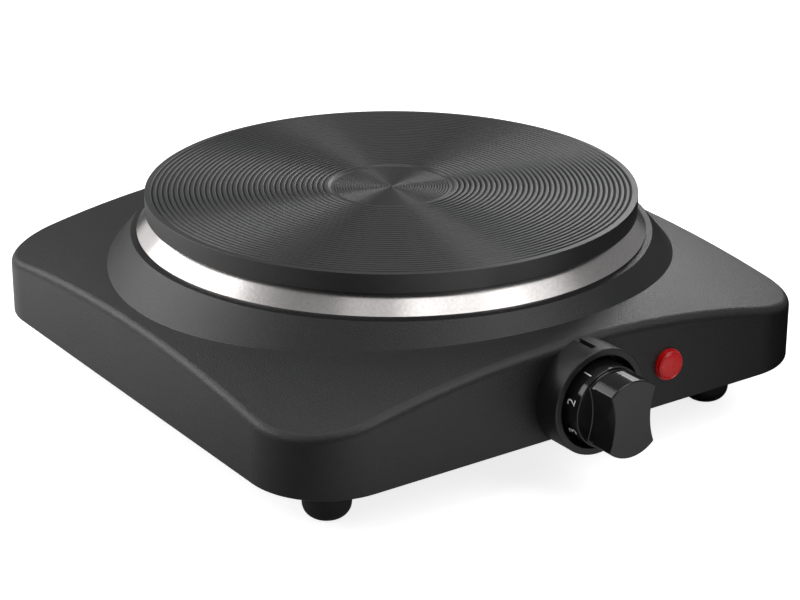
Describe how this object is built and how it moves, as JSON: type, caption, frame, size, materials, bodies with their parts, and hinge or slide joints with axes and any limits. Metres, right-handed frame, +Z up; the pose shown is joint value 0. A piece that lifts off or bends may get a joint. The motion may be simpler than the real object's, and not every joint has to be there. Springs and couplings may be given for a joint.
{
  "type": "hot plate burner",
  "caption": "Electric hot plate: round grooved cast-iron plate on a domed square steel housing, with a front thermostat knob in a collar and a red indicator lamp.",
  "frame": {"origin": "on the table below the centre of the cooking plate, in the plane of the feet's lower faces", "axes": "+Z up along the plate's axis, -Y towards the front wall with the knob, +X to the right seen from the front"},
  "size_m": [0.2294, 0.2608, 0.0773],
  "materials": {
    "housing_paint": "satin charcoal paint with a fine texture",
    "cover_steel": "thin matt black paint",
    "foot_rubber": "moulded, matt",
    "zinc_steel": "bright zinc",
    "cast_plate": "turned face under a heat-proof dark coating",
    "stainless_ring": "polished stainless",
    "heater_wire": "oxidised resistance wire",
    "ceramic": "unglazed",
    "brass": "plain",
    "wire_brown": "heat-proof sleeve",
    "wire_blue": "heat-proof sleeve",
    "wire_green": "heat-proof sleeve",
    "white_plastic": "sleeve of the lamp leads and print on the dial",
    "red_lens": "clear red plastic",
    "lamp_glass": "small glass bulb",
    "collar_plastic": "satin, in the colour of the housing",
    "bimetal": "rolled bimetal",
    "knob_plastic": "glossy black moulding"
  },
  "bodies": {
    "base": {"housing": "housing_paint", "bottom_cover": "cover_steel", "feet": "foot_rubber", "foot_screws": "zinc_steel", "foot_nuts": "zinc_steel", "cover_screws": "zinc_steel", "hot_plate": "cast_plate", "trim_ring": "stainless_ring", "heating_coil": "heater_wire", "ceramic_filler": "ceramic", "plate_undercover": "zinc_steel", "terminal_pins": "zinc_steel", "pin_insulators": "ceramic", "centre_stud": "zinc_steel", "stud_nuts": "zinc_steel", "stud_washer": "zinc_steel", "bridge_bracket": "zinc_steel", "terminal_block": "ceramic", "block_inserts": "brass", "clamp_screws": "zinc_steel", "block_screws": "zinc_steel", "earth_lug": "brass", "earth_screw": "zinc_steel", "wire_live": "wire_brown", "wire_switched": "wire_brown", "wire_neutral": "wire_blue", "wire_earth": "wire_green", "lamp_leads": "white_plastic", "lamp_lens": "red_lens", "neon_lamp": "lamp_glass", "lamp_push_nut": "zinc_steel", "cord_gland": "foot_rubber", "knob_collar": "collar_plastic", "thermostat_bracket": "zinc_steel", "thermostat_bush": "brass", "thermostat_insulators": "ceramic", "thermostat_rivet": "brass", "leaf_terminal": "brass", "bimetal_carrier": "brass", "bimetal_strip": "bimetal", "thermostat_screws": "zinc_steel"},
    "knob": {"control_knob": "knob_plastic", "spindle": "zinc_steel", "knob_clip": "zinc_steel"},
    "pin": {"push_pin": "ceramic"},
    "leaf": {"contact_leaf": "brass"}
  },
  "joints": [
    {"name": "knob_turn", "type": "hinge", "parent": "base", "child": "knob", "pos_m": [0, -0.1147, 0.0348], "axis": [0, 1, 0], "range_deg": [0, 250]},
    {"name": "pin_push", "type": "slide", "parent": "base", "child": "pin", "axis": [0, 1, 0], "range_m": [0, 0.00061]},
    {"name": "leaf_bend", "type": "hinge", "parent": "base", "child": "leaf", "pos_m": [-0.012, -0.1066, 0.0348], "axis": [0, 0, 1], "range_deg": [0, 2.91]}
  ],
  "couplings": [
    {"joint": "pin_push", "follows": "knob_turn", "m_per_rad": 0.00013751},
    {"joint": "leaf_bend", "follows": "knob_turn", "ratio": 0.011448}
  ]
}
